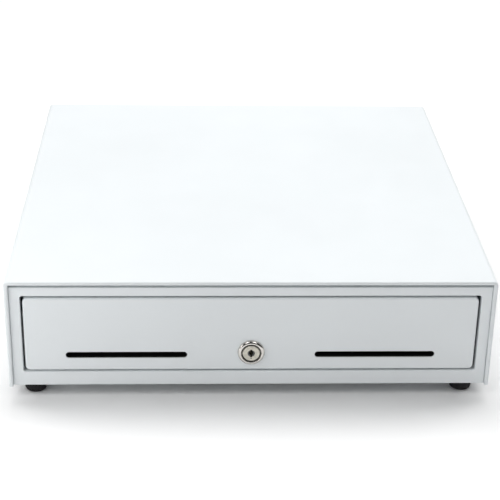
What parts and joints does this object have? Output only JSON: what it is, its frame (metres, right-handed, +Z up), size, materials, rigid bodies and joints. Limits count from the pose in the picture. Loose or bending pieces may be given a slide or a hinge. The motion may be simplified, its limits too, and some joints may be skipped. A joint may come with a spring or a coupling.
{
  "type": "cash drawer",
  "caption": "Steel point-of-sale cash drawer on rubber feet, with a framed sliding drawer, cam lock, note slots, ball slides, money till and solenoid latch.",
  "frame": {"origin": "on the floor under the centre of the case", "axes": "+X to the right as the operator faces it, +Y to the back, +Z up; the drawer opens towards -Y"},
  "size_m": [0.41, 0.415, 0.114],
  "materials": {
    "white_paint": "fine-textured satin powder coat",
    "zinc_steel": "bright zinc plate",
    "nickel": "polished and satin nickel plate",
    "black_rubber": "matt moulded rubber",
    "till_plastic": "fine-grained ABS",
    "black_plastic": "moulded",
    "white_nylon": "natural nylon",
    "winding_tape": "polyester tape over copper wire",
    "spring_wire": "bare spring wire",
    "ball_steel": "polished balls",
    "screw_steel": "zinc-plated screws",
    "grey_sheath": "PVC sheath"
  },
  "bodies": {
    "case": {"case_cover": "white_paint", "front_bezel": "white_paint", "base_pan": "white_paint", "rear_panel": "white_paint", "foot_front_left": "black_rubber", "foot_front_right": "black_rubber", "foot_rear_left": "black_rubber", "foot_rear_right": "black_rubber", "foot_screws": "screw_steel", "case_screws": "screw_steel", "rear_screws": "screw_steel", "slide_bracket_left": "zinc_steel", "slide_bracket_right": "zinc_steel", "outer_rail_left": "zinc_steel", "outer_rail_right": "zinc_steel", "lock_keeper": "zinc_steel", "latch_bracket": "zinc_steel", "latch_pivot_pin": "zinc_steel", "latch_spring": "spring_wire", "solenoid_frame": "zinc_steel", "solenoid_bobbin": "white_nylon", "solenoid_winding": "winding_tape", "switch_body": "black_plastic", "cable_jack": "black_plastic", "wire_lead": "grey_sheath", "spring_seats": "white_nylon", "eject_springs": "spring_wire"},
    "drawer": {"drawer_front": "white_paint", "drawer_tray": "white_paint", "slot_guides": "black_plastic", "till_ledges": "zinc_steel", "till_tray": "till_plastic", "coin_tray": "till_plastic", "arm_rod": "zinc_steel", "arm_springs": "spring_wire", "lock_body": "nickel", "lock_nut": "zinc_steel", "striker": "zinc_steel", "inner_rail_left": "zinc_steel", "inner_rail_right": "zinc_steel"},
    "middle_slide_left": {"middle_rail_left": "zinc_steel"},
    "middle_slide_right": {"middle_rail_right": "zinc_steel"},
    "outer_ball_cage_left": {"outer_cage_left": "zinc_steel", "outer_balls_left": "ball_steel"},
    "outer_ball_cage_right": {"outer_cage_right": "zinc_steel", "outer_balls_right": "ball_steel"},
    "inner_ball_cage_left": {"inner_cage_left": "zinc_steel", "inner_balls_left": "ball_steel"},
    "inner_ball_cage_right": {"inner_cage_right": "zinc_steel", "inner_balls_right": "ball_steel"},
    "lock_barrel": {"lock_plug": "nickel", "lock_cam": "zinc_steel", "cam_screw": "screw_steel"},
    "latch": {"latch_hook": "zinc_steel"},
    "plunger": {"solenoid_plunger": "zinc_steel"},
    "switch_tip": {"switch_button": "white_nylon"},
    "arm_1": {"bill_arm_1": "till_plastic"},
    "arm_2": {"bill_arm_2": "till_plastic"},
    "arm_3": {"bill_arm_3": "till_plastic"},
    "arm_4": {"bill_arm_4": "till_plastic"}
  },
  "joints": [
    {"name": "drawer_slide", "type": "slide", "parent": "case", "child": "drawer", "axis": [0, -1, 0], "range_m": [0, 0.3], "deforming": ["eject_springs"]},
    {"name": "middle_rail_left_slide", "type": "slide", "parent": "case", "child": "middle_slide_left", "axis": [0, -1, 0], "range_m": [0, 0.15]},
    {"name": "outer_cage_left_slide", "type": "slide", "parent": "case", "child": "outer_ball_cage_left", "axis": [0, -1, 0], "range_m": [0, 0.075]},
    {"name": "inner_cage_left_slide", "type": "slide", "parent": "case", "child": "inner_ball_cage_left", "axis": [0, -1, 0], "range_m": [0, 0.225]},
    {"name": "middle_rail_right_slide", "type": "slide", "parent": "case", "child": "middle_slide_right", "axis": [0, -1, 0], "range_m": [0, 0.15]},
    {"name": "outer_cage_right_slide", "type": "slide", "parent": "case", "child": "outer_ball_cage_right", "axis": [0, -1, 0], "range_m": [0, 0.075]},
    {"name": "inner_cage_right_slide", "type": "slide", "parent": "case", "child": "inner_ball_cage_right", "axis": [0, -1, 0], "range_m": [0, 0.225]},
    {"name": "lock_turn", "type": "hinge", "parent": "drawer", "child": "lock_barrel", "pos_m": [0, -0.19, 0.0456], "axis": [0, 1, 0], "range_deg": [0, 90]},
    {"name": "latch_turn", "type": "hinge", "parent": "case", "child": "latch", "pos_m": [0.011, 0.196, 0.04], "axis": [0, 0, -1], "range_deg": [0, 20], "stiffness_Nm_per_rad": 0.02, "springref_deg": 40.11},
    {"name": "plunger_slide", "type": "slide", "parent": "case", "child": "plunger", "axis": [-1, 0, 0], "range_m": [0, 0.0049]},
    {"name": "switch_press", "type": "slide", "parent": "case", "child": "switch_tip", "axis": [0, 1, 0], "range_m": [0, 0.0015], "stiffness_N_per_m": 150},
    {"name": "bill_arm_1_lift", "type": "hinge", "parent": "drawer", "child": "arm_1", "pos_m": [-0.13069, 0.146, 0.088], "axis": [-1, 0, 0], "range_deg": [0, 28], "stiffness_Nm_per_rad": 0.03, "springref_deg": -28.65},
    {"name": "bill_arm_2_lift", "type": "hinge", "parent": "drawer", "child": "arm_2", "pos_m": [-0.04356, 0.146, 0.088], "axis": [-1, 0, 0], "range_deg": [0, 28], "stiffness_Nm_per_rad": 0.03, "springref_deg": -28.65},
    {"name": "bill_arm_3_lift", "type": "hinge", "parent": "drawer", "child": "arm_3", "pos_m": [0.04356, 0.146, 0.088], "axis": [-1, 0, 0], "range_deg": [0, 28], "stiffness_Nm_per_rad": 0.03, "springref_deg": -28.65},
    {"name": "bill_arm_4_lift", "type": "hinge", "parent": "drawer", "child": "arm_4", "pos_m": [0.13069, 0.146, 0.088], "axis": [-1, 0, 0], "range_deg": [0, 28], "stiffness_Nm_per_rad": 0.03, "springref_deg": -28.65}
  ],
  "couplings": [
    {"joint": "middle_rail_left_slide", "follows": "drawer_slide", "ratio": 0.5},
    {"joint": "outer_cage_left_slide", "follows": "drawer_slide", "ratio": 0.25},
    {"joint": "inner_cage_left_slide", "follows": "drawer_slide", "ratio": 0.75},
    {"joint": "middle_rail_right_slide", "follows": "drawer_slide", "ratio": 0.5},
    {"joint": "outer_cage_right_slide", "follows": "drawer_slide", "ratio": 0.25},
    {"joint": "inner_cage_right_slide", "follows": "drawer_slide", "ratio": 0.75},
    {"joint": "plunger_slide", "follows": "latch_turn", "m_per_rad": 0.01393}
  ]
}
